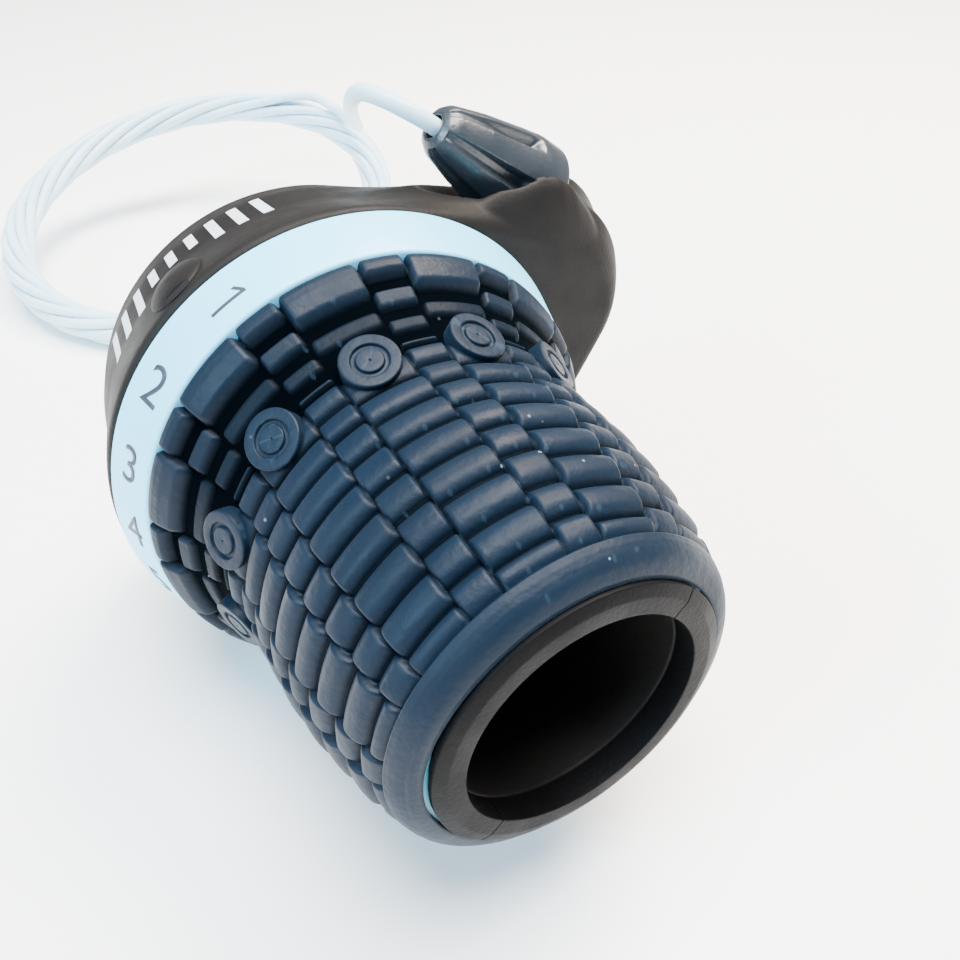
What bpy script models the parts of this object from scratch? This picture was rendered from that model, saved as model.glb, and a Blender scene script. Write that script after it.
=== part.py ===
"""Right-hand twist-grip gear shifter for a 22.2 mm handlebar, with its inner cable coiled beside it.

The bar axis is X, with the grip's free end towards +X, and +Z is up.
The origin lies on the bar axis, at the back face of the clamp collar.
Lengths below are in millimetres and become metres where a mesh or curve is made.
"""
import math

import bmesh
import bpy
from mathutils import Matrix, Vector

MM = 0.001
OBJECT_NAME = "twist_grip_shifter"

# ---------------------------------------------------------------- driving dimensions
GAP = 0.3                     # clearance between touching pieces
LARGE_STEPS = 40              # sides of the pieces turned about the bar
SMALL_STEPS = 16              # sides of the small turned pieces

BAR_BORE_RADIUS = 11.2        # slides over a 22.2 mm bar
SLEEVE_RADIUS = 13.2
COLLAR_RADIUS = 16.6
COLLAR_LENGTH = 6.7
COVER_BACK = 7.0              # rear cover plate, moulded with collar and sleeve
COVER_FRONT = 9.6
SHELL_BACK = 9.9
SHELL_FRONT = 27.6
SHELL_WALL = 2.2
SHELL_OPENING_RADIUS = 24.5
TABLE_LEVEL = -27.4

RING_BACK = 27.9              # numbered ring at the inner end of the twist barrel
RING_BACK_RADIUS = 26.8
RING_FRONT = 33.7
RING_FRONT_RADIUS = 24.9
BARREL_BORE_RADIUS = 13.5
BARREL_RADIUS = 15.5
BARREL_END = 70.6
RETAINER_BACK = 69.9
END_FACE = 72.2

CABLE_PLANE = 19.0            # plane across the bar in which the inner cable runs
WRAP_RADIUS = 16.5            # cable centre line on the spool
CABLE_DIAMETER = 1.2
SLEEVE_DIAMETER = 1.9         # cable with its liner, outside the shifter
DETENTS_DEG = (0, 23, 42, 59, 76, 93, 110)
LEAVE_DEG = 71.7              # where the cable leaves the spool, from +Y towards +Z
NIPPLE_DEG = LEAVE_DEG + DETENTS_DEG[-1] + 15
DETENT_DEG = 165.0            # where the detent spring's bump sits

GUIDE_CENTRE = (27.0, 14.26)  # Y and Z of the guide that turns the cable round
GUIDE_RADIUS = 5.5            # cable centre line on the guide
ADJUSTER_BASE = Vector((CABLE_PLANE, 26.8, 21.35))
ADJUSTER_AXIS = Vector((0.0, -0.79, 0.61)).normalized()
ADJUSTER_FACE = -2.1          # shell face behind the knob, along the adjuster's axis

SCREW_PLACES = ((22.5, 4.5), (0.5, -24.3))

COIL_CENTRE = Vector((-84.9, 12.1, -14.75))
COIL_NORMAL = Vector((0.182, -0.168, 0.969)).normalized()
COIL_RADIUS = 37.5
COIL_BUNDLE_RADIUS = 3.2

# housing outline stations: X, drum radius, horn centre Y, horn centre Z, horn radius
HOUSING_STATIONS = (
    (7.0, 20.5, 20.5, 7.7, 7.2),
    (8.0, 22.1, 21.2, 8.2, 8.0),
    (9.9, 23.4, 22.5, 9.1, 8.8),
    (14.0, 24.4, 24.4, 10.1, 9.8),
    (19.0, 25.1, 27.2, 12.2, 11.0),
    (22.0, 25.8, 25.9, 11.5, 11.0),
    (25.0, 26.5, 26.1, 10.4, 11.0),
    (27.6, 27.0, 25.5, 8.3, 9.8),
)

# route of the lined cable from the adjuster's mouth to the coil
STRAND_ROUTE = (
    (19.0, 16.94, 28.96), (19.0, 15.5, 30.1), (18.3, 13.2, 31.7), (16.2, 11.4, 32.7),
    (13.5, 10.5, 32.8), (10.9, 10.7, 32.0), (0.0, 14.4, 27.9), (-12.0, 19.0, 23.0),
    (-34.0, 28.5, 13.6), (-55.0, 37.4, 5.8), (-74.0, 44.6, -0.2), (-91.4, 48.1, -2.7),
)
TAIL_ROUTE = (
    (-47.5, -3.1, -25.8), (-45.9, 1.4, -26.2), (-42.0, 10.0, -26.4),
    (-36.0, 18.5, -26.4), (-28.0, 25.5, -26.4),
)
CAP_LENGTH = 9.0
CAP_RADIUS = 1.3


# ---------------------------------------------------------------- scene and materials
def clear_scene():
    for scene_object in list(bpy.data.objects):
        bpy.data.objects.remove(scene_object, do_unlink=True)


def new_collection(name):
    collection = bpy.data.collections.new(name)
    bpy.context.scene.collection.children.link(collection)
    return collection


def new_material(name, colour, roughness, metallic=0.0):
    material = bpy.data.materials.new(name)
    material.use_nodes = True
    shader = material.node_tree.nodes["Principled BSDF"]
    shader.inputs["Base Color"].default_value = (*colour, 1.0)
    shader.inputs["Roughness"].default_value = roughness
    shader.inputs["Metallic"].default_value = metallic
    return material


clear_scene()
PARTS = new_collection(OBJECT_NAME)
CUTTERS = new_collection("cutters")
BLACK_PLASTIC = new_material("black_plastic", (0.03, 0.03, 0.033), 0.45)
BLACK_RUBBER = new_material("black_rubber", (0.022, 0.025, 0.03), 0.75)
WHITE_PLASTIC = new_material("white_plastic", (0.78, 0.86, 0.92), 0.35)
GREY_PLASTIC = new_material("grey_plastic", (0.35, 0.35, 0.36), 0.5)
STEEL = new_material("steel", (0.55, 0.55, 0.56), 0.3, 1.0)
LINER = new_material("cable_liner", (0.75, 0.8, 0.86), 0.4)


# ---------------------------------------------------------------- modelling helpers
def add_object(name, data, material=None):
    """A part when it has a material, otherwise a cutter or guide."""
    new_object = bpy.data.objects.new(name, data)
    if material is None:
        CUTTERS.objects.link(new_object)
        new_object.hide_render = True
        new_object.display_type = "WIRE"
    else:
        data.materials.append(material)
        PARTS.objects.link(new_object)
    return new_object


def add_empty(name, location, direction=None):
    empty = bpy.data.objects.new(name, None)
    PARTS.objects.link(empty)
    empty.location = Vector(location) * MM
    if direction is not None:
        empty.rotation_mode = "QUATERNION"
        empty.rotation_quaternion = direction.to_track_quat("Z", "Y")
    return empty


def turned(name, outline, material=None, steps=LARGE_STEPS, about_bar=True):
    """Outline of (distance along the axis, radius), from the top down its outer side."""
    mesh = bpy.data.meshes.new(name)
    corners = [(radius * MM, 0.0, along * MM) for along, radius in outline]
    closed = all(radius > 0 for along, radius in outline)
    edges = [(i, i + 1) for i in range(len(corners) - 1)]
    if closed:
        edges.append((len(corners) - 1, 0))
    mesh.from_pydata(corners, edges, [])
    new_object = add_object(name, mesh, material)
    screw = new_object.modifiers.new("Turn", "SCREW")
    screw.steps = steps
    screw.render_steps = steps
    screw.use_merge_vertices = True
    screw.merge_threshold = 0.00001
    if about_bar:
        new_object.rotation_euler = (0.0, math.radians(90), 0.0)
    return new_object


def cylinder(name, start, end, radius, material=None, sides=SMALL_STEPS, end_radius=None):
    start = Vector(start) * MM
    end = Vector(end) * MM
    far_radius = radius if end_radius is None else end_radius
    shape = bmesh.new()
    bmesh.ops.create_cone(
        shape, cap_ends=True, segments=sides,
        radius1=radius * MM, radius2=far_radius * MM, depth=(end - start).length)
    mesh = bpy.data.meshes.new(name)
    shape.to_mesh(mesh)
    shape.free()
    new_object = add_object(name, mesh, material)
    new_object.rotation_mode = "QUATERNION"
    new_object.rotation_quaternion = (end - start).to_track_quat("Z", "Y")
    new_object.location = (start + end) / 2
    return new_object


def box(name, low, high, material=None):
    low = Vector(low) * MM
    high = Vector(high) * MM
    shape = bmesh.new()
    bmesh.ops.create_cube(shape, size=1.0)
    size = Matrix.Diagonal((*(high - low), 1.0))
    bmesh.ops.transform(shape, matrix=Matrix.Translation((low + high) / 2) @ size, verts=shape.verts)
    mesh = bpy.data.meshes.new(name)
    shape.to_mesh(mesh)
    shape.free()
    return add_object(name, mesh, material)


def boolean(target, operation, *others):
    for other in others:
        modifier = target.modifiers.new(other.name, "BOOLEAN")
        modifier.operation = operation
        modifier.solver = "EXACT"
        modifier.object = other


def tube(name, points, diameter, material, resolution=2):
    curve = bpy.data.curves.new(name, "CURVE")
    curve.dimensions = "3D"
    curve.bevel_depth = diameter / 2 * MM
    curve.bevel_resolution = resolution
    curve.use_fill_caps = True
    spline = curve.splines.new("POLY")
    spline.points.add(len(points) - 1)
    for spline_point, point in zip(spline.points, points):
        spline_point.co = (*(Vector(point) * MM), 1.0)
    return add_object(name, curve, material)


def smooth_route(route, spacing):
    """Evenly spaced points on a centripetal Catmull-Rom curve through the route."""
    knots = [Vector(point) for point in route]
    knots = [2 * knots[0] - knots[1]] + knots + [2 * knots[-1] - knots[-2]]
    fine = []
    samples = 24
    for i in range(1, len(knots) - 2):
        p0, p1, p2, p3 = knots[i - 1:i + 3]
        t1 = (p1 - p0).length ** 0.5
        t2 = t1 + (p2 - p1).length ** 0.5
        t3 = t2 + (p3 - p2).length ** 0.5
        for step in range(samples):
            t = t1 + (t2 - t1) * step / samples
            a1 = p0 * ((t1 - t) / t1) + p1 * (t / t1)
            a2 = p1 * ((t2 - t) / (t2 - t1)) + p2 * ((t - t1) / (t2 - t1))
            a3 = p2 * ((t3 - t) / (t3 - t2)) + p3 * ((t - t2) / (t3 - t2))
            b1 = a1 * ((t2 - t) / t2) + a2 * (t / t2)
            b2 = a2 * ((t3 - t) / (t3 - t1)) + a3 * ((t - t1) / (t3 - t1))
            fine.append(b1 * ((t2 - t) / (t2 - t1)) + b2 * ((t - t1) / (t2 - t1)))
    fine.append(knots[-2])
    reached = [0.0]
    for previous, current in zip(fine, fine[1:]):
        reached.append(reached[-1] + (current - previous).length)
    count = max(3, round(reached[-1] / spacing))
    even = []
    place = 0
    for step in range(count + 1):
        wanted = reached[-1] * step / count
        while place < len(fine) - 2 and reached[place + 1] < wanted:
            place += 1
        share = (wanted - reached[place]) / (reached[place + 1] - reached[place])
        even.append(fine[place].lerp(fine[place + 1], min(share, 1.0)))
    return even


def across_bar(radius, angle_deg, x=CABLE_PLANE):
    """Point at a radius from the bar axis; the angle runs from +Y towards +Z."""
    angle = math.radians(angle_deg)
    return Vector((x, radius * math.cos(angle), radius * math.sin(angle)))


def on_adjuster(distance):
    return ADJUSTER_BASE + ADJUSTER_AXIS * distance


# ---------------------------------------------------------------- housing outline
def station_at(x):
    for low, high in zip(HOUSING_STATIONS, HOUSING_STATIONS[1:]):
        if x <= high[0] + 1e-6:
            share = (x - low[0]) / (high[0] - low[0])
            return [a + (b - a) * share for a, b in zip(low, high)][1:]
    return list(HOUSING_STATIONS[-1][1:])


def outline_radius(angle, drum, horn_y, horn_z, horn):
    """Polar radius of the belt stretched round the drum circle and the horn circle."""
    reach = math.hypot(horn_y, horn_z)
    turn = angle - math.atan2(horn_z, horn_y)
    best = drum
    for step in range(25):
        share = step / 24
        side = share * reach * math.sin(turn)
        circle = drum + (horn - drum) * share
        if abs(side) < circle:
            best = max(best, share * reach * math.cos(turn) + math.sqrt(circle ** 2 - side ** 2))
    return best


def housing_body(name, stations, inset=0.0, material=None, sides=56):
    """Loft through the housing's unlike sections; inset moves every section inwards."""
    shape = bmesh.new()
    rings = []
    for x in stations:
        drum, horn_y, horn_z, horn = station_at(x)
        ring = []
        for step in range(sides):
            angle = 2 * math.pi * step / sides
            radius = outline_radius(angle, drum - inset, horn_y, horn_z, horn - inset)
            ring.append(shape.verts.new((
                x * MM, radius * math.cos(angle) * MM, radius * math.sin(angle) * MM)))
        rings.append(ring)
    for back, front in zip(rings, rings[1:]):
        for i in range(sides):
            j = (i + 1) % sides
            shape.faces.new((back[i], back[j], front[j], front[i]))
    shape.faces.new(list(reversed(rings[0])))
    shape.faces.new(rings[-1])
    bmesh.ops.recalc_face_normals(shape, faces=shape.faces)
    mesh = bpy.data.meshes.new(name)
    shape.to_mesh(mesh)
    shape.free()
    return add_object(name, mesh, material)


# ---------------------------------------------------------------- fixed pieces on the bar
def make_clamp_body():
    """Collar, rear cover plate and long bearing sleeve in one moulding."""
    body = turned("clamp_body", (
        (RETAINER_BACK - GAP, SLEEVE_RADIUS), (COVER_FRONT - 0.6, SLEEVE_RADIUS),
        (COVER_FRONT - 0.6, COLLAR_RADIUS), (0.0, COLLAR_RADIUS),
        (0.0, BAR_BORE_RADIUS), (RETAINER_BACK - GAP, BAR_BORE_RADIUS)), BLACK_PLASTIC)
    plate = housing_body("cover_plate_blank", (COVER_BACK, 8.0, COVER_FRONT))
    tongue = box("cover_tongue", (COVER_BACK + 0.2, -6.0, -26.8), (COVER_FRONT - 0.1, 7.0, -18.0))
    plate_hole = cylinder("cover_plate_hole", (0, 0, 0), (20, 0, 0), BAR_BORE_RADIUS + 1.1, sides=32)
    boolean(plate, "UNION", tongue)
    boolean(plate, "DIFFERENCE", plate_hole)
    ears = box("clamp_ears", (0.4, -7.2, -25.0), (COLLAR_LENGTH - 0.4, 7.2, -14.5))
    slit = box("clamp_slit", (-1.0, -1.2, -27.0), (COLLAR_LENGTH - 0.1, 1.2, -9.0))
    bolt_hole = cylinder("clamp_bolt_hole", (3.3, -10, -20.5), (3.3, 10, -20.5), 2.3)
    boolean(body, "UNION", plate, ears)
    boolean(body, "DIFFERENCE", slit, bolt_hole)
    for i, (y, z) in enumerate(SCREW_PLACES):
        hole = cylinder(f"cover_hole_{i}", (5, y, z), (12, y, z), 1.25)
        sink = cylinder(f"cover_sink_{i}", (5, y, z), (8.7, y, z), 2.05)
        boolean(body, "DIFFERENCE", hole, sink)
    detent_hole = cylinder("detent_hole", across_bar(18.2, 206, 7.5), across_bar(18.2, 206, 12), 1.1)
    boolean(body, "DIFFERENCE", detent_hole)


def make_clamp_bolt():
    bolt = cylinder("clamp_bolt", (3.3, -7.6, -20.5), (3.3, 12.0, -20.5), 1.95, STEEL)
    head = cylinder("clamp_bolt_head", (3.3, -11.8, -20.5), (3.3, -7.5, -20.5), 3.3)
    socket = cylinder("clamp_bolt_socket", (3.3, -13.0, -20.5), (3.3, -9.6, -20.5), 1.7, sides=6)
    boolean(bolt, "UNION", head)
    boolean(bolt, "DIFFERENCE", socket)
    nut = cylinder("clamp_nut", (3.3, 7.5, -20.5), (3.3, 10.8, -20.5), 3.9, STEEL, sides=6)
    nut_hole = cylinder("clamp_nut_hole", (3.3, 6.0, -20.5), (3.3, 12.5, -20.5), 2.3)
    boolean(nut, "DIFFERENCE", nut_hole)


def make_housing_shell():
    """Drum with the horn that carries the cable round and the adjuster's pocket."""
    outer_stations = (SHELL_BACK, 12.0, 14.0, 16.5, 19.0, 20.5, 22.0, 24.8, SHELL_FRONT)
    inner_stations = (SHELL_BACK - 1.0, 12.0, 14.0, 16.5, 19.0, 20.5, 22.0, SHELL_FRONT - SHELL_WALL)
    shell = housing_body("housing_shell", outer_stations, material=BLACK_PLASTIC)
    foot = box("shell_foot", (SHELL_BACK + 0.15, -8.0, TABLE_LEVEL), (SHELL_FRONT - 0.2, 9.0, -20.0))
    cavity = housing_body("shell_cavity", inner_stations, inset=SHELL_WALL)
    envelope = housing_body("shell_envelope", outer_stations, inset=0.02)
    pocket_wall = cylinder(
        "pocket_wall", on_adjuster(ADJUSTER_FACE - SHELL_WALL), on_adjuster(14.0), 7.8, sides=24)
    boolean(pocket_wall, "INTERSECT", envelope)
    boss_place = SCREW_PLACES[0]
    boss = cylinder("screw_boss", (SHELL_BACK, *boss_place), (19.0, *boss_place), 2.1)
    rib = box("screw_boss_rib", (SHELL_BACK, 21.9, -2.0), (15.0, 24.5, 4.5))
    boss_envelope = housing_body("boss_envelope", outer_stations, inset=0.05)
    boolean(boss, "UNION", rib)
    boolean(boss, "INTERSECT", boss_envelope)
    boolean(shell, "UNION", foot)
    boolean(shell, "DIFFERENCE", cavity)
    boolean(shell, "UNION", pocket_wall, boss)
    pocket = cylinder("knob_pocket", on_adjuster(ADJUSTER_FACE), on_adjuster(30.0), 6.3, sides=24)
    stem_hole = cylinder("stem_hole", on_adjuster(-6.0), on_adjuster(0.0), 2.6)
    front_opening = cylinder("front_opening", (24, 0, 0), (30, 0, 0), SHELL_OPENING_RADIUS, sides=48)
    boolean(shell, "DIFFERENCE", pocket, stem_hole, front_opening)
    for i, (y, z) in enumerate(SCREW_PLACES):
        boolean(shell, "DIFFERENCE", cylinder(f"shell_hole_{i}", (5, y, z), (17.6, y, z), 1.25))


def make_cover_screws():
    for i, (y, z) in enumerate(SCREW_PLACES):
        screw = cylinder(f"cover_screw_{i + 1}", (7.3, y, z), (8.4, y, z), 1.7, STEEL)
        shank = cylinder(f"cover_screw_shank_{i}", (8.0, y, z), (17.2, y, z), 0.9, sides=10)
        cross = box(f"cover_screw_slot_{i}", (6.9, y - 1.2, z - 0.25), (7.8, y + 1.2, z + 0.25))
        boolean(screw, "UNION", shank)
        boolean(screw, "DIFFERENCE", cross)


def make_retainer():
    """End ring in two halves, hooked inside the barrel's end and split across the bore."""
    outline = (
        (END_FACE, 12.9), (71.8, 14.0), (71.1, 14.0), (71.1, 13.2), (RETAINER_BACK, 13.2),
        (RETAINER_BACK, 11.3), (END_FACE, 11.3))
    for name, side in (("retainer_half_left", 1), ("retainer_half_right", -1)):
        half = turned(name, outline, BLACK_PLASTIC)
        keep_off = box(f"{name}_cut", (60, -0.15, -30), (80, 30, 30))
        if side < 0:
            keep_off.rotation_euler = (math.radians(135), 0, 0)
        else:
            keep_off.rotation_euler = (math.radians(-45), 0, 0)
        boolean(half, "DIFFERENCE", keep_off)


# ---------------------------------------------------------------- pieces that twist
def make_grip(axis):
    barrel = turned("twist_barrel", (
        (BARREL_END, BARREL_RADIUS), (31.0, BARREL_RADIUS), (31.0, 23.0), (RING_FRONT, 23.0),
        (RING_FRONT, RING_FRONT_RADIUS), (RING_BACK, RING_BACK_RADIUS),
        (RING_BACK, BARREL_BORE_RADIUS), (BARREL_END, BARREL_BORE_RADIUS)), WHITE_PLASTIC)
    spool = turned("cable_spool", (
        (27.6, 19.2), (25.6, 19.2), (25.6, 16.4), (23.0, 16.4), (22.5, 18.0), (20.1, 18.0),
        (20.1, 15.6), (17.9, 15.6), (17.9, 18.0), (15.0, 18.0), (15.0, 20.5), (12.8, 20.5),
        (12.8, 13.6), (27.6, 13.6)), GREY_PLASTIC)
    for i in range(3):
        place = across_bar(17.4, 30 + 120 * i)
        y, z = place.y, place.z
        boolean(spool, "UNION", cylinder(f"drive_pin_{i}", (27.0, y, z), (30.0, y, z), 1.0, sides=12))
        hole = cylinder(f"drive_hole_{i}", (27.0, y, z), (30.3, y, z), 1.35, sides=12)
        boolean(barrel, "DIFFERENCE", hole)
    for i, angle in enumerate(DETENTS_DEG):
        notch = cylinder(
            f"detent_notch_{i}", across_bar(16.9, DETENT_DEG + angle, 12.8),
            across_bar(22.0, DETENT_DEG + angle, 12.8), 0.7, sides=8)
        boolean(spool, "DIFFERENCE", notch)
    tangent = across_bar(1.0, NIPPLE_DEG + 90, 0.0)
    seat = across_bar(WRAP_RADIUS, NIPPLE_DEG)
    nipple_seat = cylinder("nipple_seat", seat - tangent * 2.6, seat + tangent * 2.6, 2.3, sides=12)
    boolean(spool, "DIFFERENCE", nipple_seat)
    nipple = cylinder("cable_nipple", seat - tangent * 2.2, seat + tangent * 2.2, 2.0, STEEL)
    wrap_end = NIPPLE_DEG - 8.8
    wrap_steps = 24
    wrap = tube("cable_wrap", [
        across_bar(WRAP_RADIUS, LEAVE_DEG + (wrap_end - LEAVE_DEG) * i / wrap_steps)
        for i in range(wrap_steps + 1)], CABLE_DIAMETER, STEEL)
    rubber = turned("grip_rubber", (
        (71.4, 14.6), (71.4, 15.0), (71.0, 15.7), (70.3, 16.4), (69.3, 16.9), (67.0, 17.7),
        (62.7, 18.7), (60.0, 19.3), (55.2, 19.8), (47.0, 20.0), (45.0, 20.8), (43.0, 21.6),
        (41.0, 22.8), (39.0, 24.0), (36.0, 24.5), (34.0, 24.7), (34.0, 22.7), (31.3, 22.7),
        (31.3, 15.8), (BARREL_END + GAP, 15.8), (BARREL_END + GAP, 14.6)), BLACK_RUBBER)
    for piece in (barrel, spool, nipple, wrap, rubber):
        piece.parent = axis


# ---------------------------------------------------------------- detent and bearing pieces
def make_detent():
    turned("slide_washer", (
        (12.5, 15.8), (SHELL_BACK, 15.8), (SHELL_BACK, 13.6), (12.5, 13.6)), GREY_PLASTIC)
    shape = bmesh.new()
    rows = []
    sweep = range(0, 61, 4)
    for step in sweep:
        angle = 212 - step
        rise = 1.7 * max(0.0, math.cos(math.radians((angle - DETENT_DEG) * 7.0))) ** 2
        if abs(angle - DETENT_DEG) > 12:
            rise = 0.0
        x = SHELL_BACK + rise
        rows.append([shape.verts.new(across_bar(radius, angle, x) * MM) for radius in (16.9, 19.4)])
    for first, second in zip(rows, rows[1:]):
        shape.faces.new((first[0], first[1], second[1], second[0]))
    mesh = bpy.data.meshes.new("detent_spring")
    shape.to_mesh(mesh)
    shape.free()
    spring = add_object("detent_spring", mesh, STEEL)
    solid = spring.modifiers.new("Sheet", "SOLIDIFY")
    solid.thickness = 0.4 * MM
    solid.offset = -1.0
    hole = cylinder("spring_hole", across_bar(18.2, 206, 9.0), across_bar(18.2, 206, 12.0), 0.95, sides=8)
    boolean(spring, "DIFFERENCE", hole)
    screw = cylinder(
        "detent_screw", across_bar(18.2, 206, 10.65), across_bar(18.2, 206, 11.6), 1.35, STEEL, sides=12)
    shank = cylinder(
        "detent_shank", across_bar(18.2, 206, 7.9), across_bar(18.2, 206, 11.0), 0.65, sides=8)
    boolean(screw, "UNION", shank)


# ---------------------------------------------------------------- cable guide and adjuster
def make_cable_guide():
    """Half pulley: the side facing the adjuster is cut flat behind the shell's wall."""
    guide = turned("cable_guide", (
        (25.1, 0.0), (25.1, 2.6), (20.6, 2.6), (20.6, 5.2), (19.9, 5.2), (19.9, 4.6),
        (18.1, 4.6), (18.1, 5.2), (17.5, 5.2), (17.5, 0.0)), GREY_PLASTIC, steps=24)
    guide.location = Vector((0, *GUIDE_CENTRE)) * MM
    flat = cylinder("guide_flat", on_adjuster(-4.6), on_adjuster(12.0), 16.0, sides=8)
    boolean(guide, "DIFFERENCE", flat)


def make_adjuster(axis):
    knob = turned("barrel_adjuster", (
        (15.0, 2.2), (14.4, 2.5), (13.6, 2.7), (1.2, 5.25), (1.2, 5.8), (-1.8, 5.8),
        (-1.8, 3.7), (4.6, 3.7), (4.6, 2.2), (-4.0, 2.2), (-4.0, 1.3), (12.0, 1.3),
        (15.0, 1.95)), BLACK_PLASTIC, steps=24, about_bar=False)
    knob.parent = axis
    flutes = 6
    for i in range(flutes):
        angle = 2 * math.pi * i / flutes
        side = Vector((math.cos(angle), math.sin(angle), 0))
        flute = cylinder(
            f"flute_{i}", side * 6.2 + Vector((0, 0, 2.6)), side * 3.6 + Vector((0, 0, 15.5)), 1.5, sides=8)
        flute.parent = axis
        boolean(knob, "DIFFERENCE", flute)
    washer = turned(
        "adjuster_washer", ((-0.9, 3.4), (-1.5, 3.4), (-1.5, 2.55), (-0.9, 2.55)),
        STEEL, steps=16, about_bar=False)
    washer.parent = axis
    turns = 4
    per_turn = 12
    coil = []
    for i in range(turns * per_turn + 1):
        angle = 2 * math.pi * i / per_turn
        height = -0.3 + 4.35 * i / (turns * per_turn)
        coil.append(Vector((2.95 * math.cos(angle), 2.95 * math.sin(angle), height)))
    spring = tube("adjuster_spring", coil, 0.5, STEEL)
    spring.parent = axis


# ---------------------------------------------------------------- cable
def make_cable():
    leave = across_bar(WRAP_RADIUS, LEAVE_DEG)
    centre = Vector((CABLE_PLANE, *GUIDE_CENTRE))
    touch = centre - across_bar(GUIDE_RADIUS, LEAVE_DEG, 0.0)
    along = (touch - leave).normalized()
    clear_of_spool = leave + along * 8.0
    points = [clear_of_spool.lerp(touch, i / 5) for i in range(5)]
    exit_deg = math.degrees(math.atan2(0.79, 0.61))
    turn_steps = 16
    for i in range(turn_steps + 1):
        angle = LEAVE_DEG - 180 + (exit_deg - LEAVE_DEG + 180) * i / turn_steps
        points.append(centre + across_bar(GUIDE_RADIUS, angle, 0.0))
    points += [on_adjuster(distance) for distance in (-1.5, 2.0, 5.5, 9.0, 12.2)]
    tube("cable_lead", points, CABLE_DIAMETER, STEEL)
    tube("cable_strand", smooth_route(STRAND_ROUTE, 2.0), SLEEVE_DIAMETER, LINER)
    tube("cable_tail", smooth_route(TAIL_ROUTE, 2.6), SLEEVE_DIAMETER, LINER)
    tail_end = Vector(TAIL_ROUTE[-1])
    heading = (tail_end - Vector(TAIL_ROUTE[-2])).normalized()
    cap_start = tail_end + heading * GAP + Vector((0, 0, CAP_RADIUS + TABLE_LEVEL + 0.1 - tail_end.z))
    cylinder("cable_end_cap", cap_start, cap_start + heading * CAP_LENGTH, CAP_RADIUS, STEEL, sides=12)


def make_coil():
    ring = []
    sides = 8
    for i in range(sides):
        angle = math.pi / 2 - 2 * math.pi * i / sides
        ring.append((
            COIL_BUNDLE_RADIUS * math.sin(angle), COIL_RADIUS + COIL_BUNDLE_RADIUS * math.cos(angle)))
    coil = turned("cable_coil", ring, LINER, steps=40, about_bar=False)
    coil.rotation_mode = "QUATERNION"
    coil.rotation_quaternion = COIL_NORMAL.to_track_quat("Z", "Y")
    coil.location = COIL_CENTRE * MM


def shade_smooth():
    for part in PARTS.objects:
        if part.type == "MESH":
            part.data.shade_smooth()
            part.data.set_sharp_from_angle(angle=math.radians(35))


make_clamp_body()
make_clamp_bolt()
make_housing_shell()
make_cover_screws()
make_retainer()
make_grip(add_empty("grip_axis", (0, 0, 0)))
make_detent()
make_cable_guide()
make_adjuster(add_empty("adjuster_axis", ADJUSTER_BASE, ADJUSTER_AXIS))
make_cable()
make_coil()
shade_smooth()
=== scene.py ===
"""Looks of the twist-grip shifter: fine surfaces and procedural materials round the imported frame."""

import math

import bmesh
import bpy
import numpy as np
from mathutils import Matrix, Vector


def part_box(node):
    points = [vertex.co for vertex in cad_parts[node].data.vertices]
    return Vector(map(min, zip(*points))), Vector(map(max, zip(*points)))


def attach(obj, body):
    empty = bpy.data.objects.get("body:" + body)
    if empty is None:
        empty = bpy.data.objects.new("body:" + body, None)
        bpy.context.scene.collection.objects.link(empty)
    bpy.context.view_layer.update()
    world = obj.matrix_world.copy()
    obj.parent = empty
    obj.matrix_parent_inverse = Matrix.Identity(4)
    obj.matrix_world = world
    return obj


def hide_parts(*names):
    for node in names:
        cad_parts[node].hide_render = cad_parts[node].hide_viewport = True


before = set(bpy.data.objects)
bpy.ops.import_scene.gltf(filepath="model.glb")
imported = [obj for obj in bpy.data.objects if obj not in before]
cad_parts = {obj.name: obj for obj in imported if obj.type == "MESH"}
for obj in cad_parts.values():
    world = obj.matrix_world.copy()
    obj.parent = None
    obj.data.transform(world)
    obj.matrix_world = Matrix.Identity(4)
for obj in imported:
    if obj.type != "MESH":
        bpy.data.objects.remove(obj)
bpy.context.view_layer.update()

MM = 0.001

# ---------------------------------------------------------------- dimensions taken from the frame
RING_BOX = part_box("twist_barrel")
RING_BACK = RING_BOX[0][0] / MM
RING_BACK_RADIUS = RING_BOX[1][2] / MM
BARREL_END = RING_BOX[1][0] / MM
SHELL_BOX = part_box("housing_shell")
SHELL_BACK = SHELL_BOX[0][0] / MM
SHELL_FRONT = SHELL_BOX[1][0] / MM
TABLE_LEVEL = SHELL_BOX[0][2] / MM
END_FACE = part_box("retainer_half_left")[1][0] / MM

RING_FRONT = RING_BACK + 5.8
RING_FRONT_RADIUS = 24.9
# the rubber's own distances along the bar are counted from here
GRIP_END = 72.0
BARREL_BORE_RADIUS = 13.5
BARREL_RADIUS = 15.5
BAR_BORE_RADIUS = 11.2
COLLAR_RADIUS = 16.6
COVER_BACK = 7.0
COVER_FRONT = SHELL_BACK - 0.3
SHELL_WALL = 2.2

ADJUSTER_BASE = Vector((19.0, 26.8, 21.35))
ADJUSTER_AXIS = Vector((0.0, -0.79, 0.61)).normalized()
ADJUSTER_FACE = -2.1
BAR_AXIS = Vector((1.0, 0.0, 0.0))
BOLT_CENTRE = Vector((3.3, 0.0, -20.5))

# gap under printed ink, and its thickness
INK_LIFT = 0.03
INK_THICKNESS = 0.03

COIL_CENTRE = Vector((-84.9, 12.1, -14.75))
COIL_NORMAL = Vector((0.182, -0.168, 0.969)).normalized()
COIL_RADIUS = 37.5
CABLE_DIAMETER = 1.9
ROUTE_SPACING = 1.2
TAIL_SPACING = 1.5
COIL_START_DEG = 103.0
COIL_END_DEG = 338.0 + 6 * 360.0

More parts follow.
